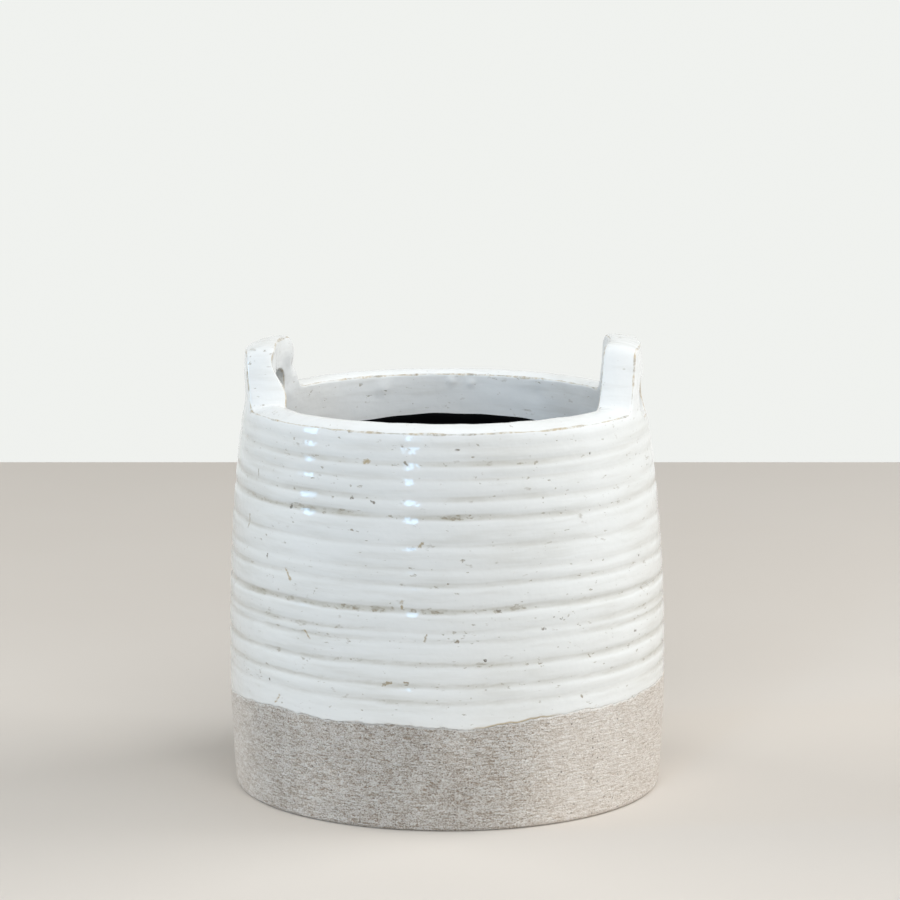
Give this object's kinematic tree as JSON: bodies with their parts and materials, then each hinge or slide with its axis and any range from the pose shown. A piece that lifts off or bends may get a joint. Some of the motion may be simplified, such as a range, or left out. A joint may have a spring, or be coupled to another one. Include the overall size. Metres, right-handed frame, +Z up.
{
  "type": "ceramic planter",
  "caption": "Round thrown stoneware planter with throwing rings, white glaze over a bare foot band, pierced lug handles on the rim and a black waterproof lining.",
  "frame": {"origin": "middle of the underside, on the surface the pot stands on", "axes": "+Z up; the two lugs lie on the X axis"},
  "size_m": [0.2156, 0.2156, 0.2231],
  "materials": {
    "bare_stoneware": "matte, coarse",
    "white_glaze": "gloss",
    "black_lining": "matte"
  },
  "bodies": {
    "root": {"floor_slab": "bare_stoneware", "thrown_wall": "bare_stoneware", "lug_left": "bare_stoneware", "lug_right": "bare_stoneware", "glaze_coat": "white_glaze", "lug_glaze_left": "white_glaze", "lug_glaze_right": "white_glaze", "waterproof_lining": "black_lining"}
  },
  "joints": []
}
